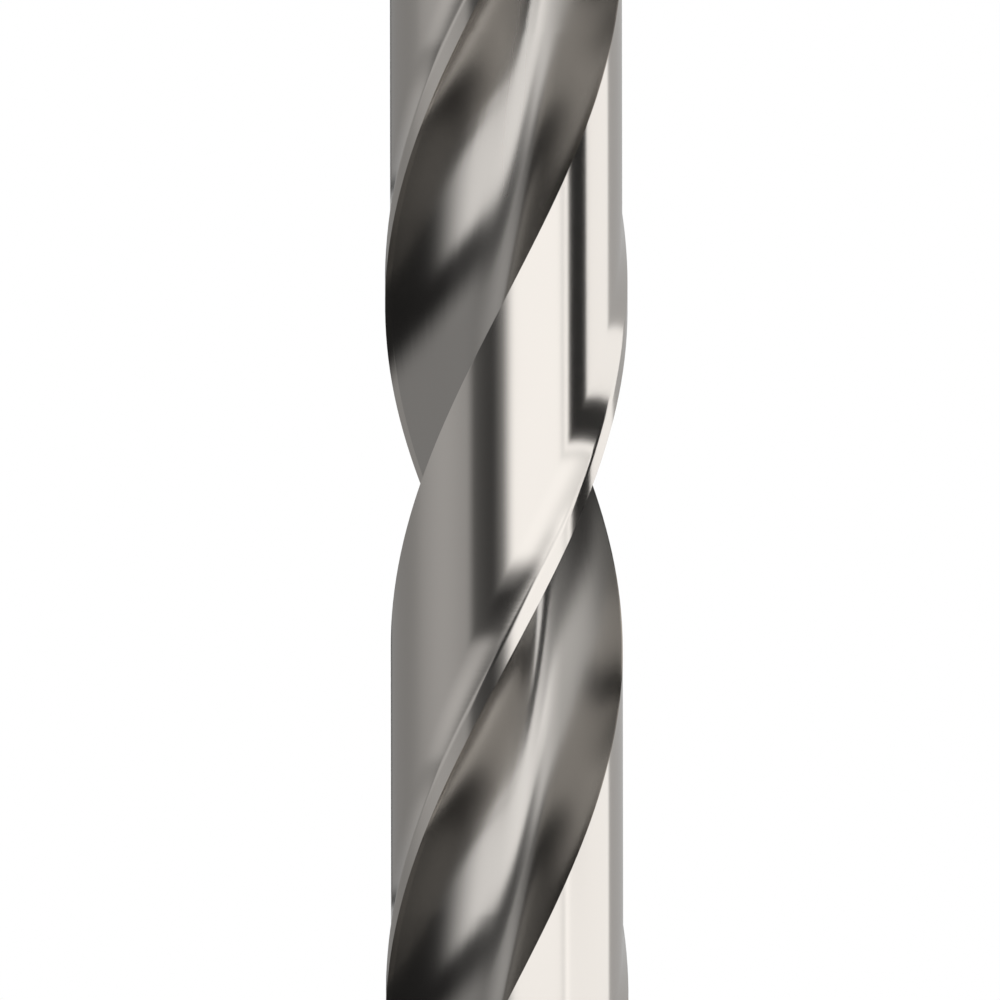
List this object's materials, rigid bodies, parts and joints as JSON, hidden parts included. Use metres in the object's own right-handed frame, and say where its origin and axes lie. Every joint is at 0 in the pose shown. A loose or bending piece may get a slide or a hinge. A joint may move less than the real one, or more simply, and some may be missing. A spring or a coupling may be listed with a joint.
{
  "type": "twist drill bit",
  "caption": "Straight-shank twist drill with helical flutes, raised margins along the cutting edges and a conically ground point.",
  "frame": {"origin": "centre of the flat end of the shank", "axes": "+Z along the drill axis from the shank to the point; at the height of the outer corners the two cutting edges lie along X"},
  "size_m": [0.01, 0.01, 0.133],
  "materials": {
    "steel": "bright ground high-speed steel"
  },
  "bodies": {
    "root": {"twist_drill": "steel"}
  },
  "joints": []
}
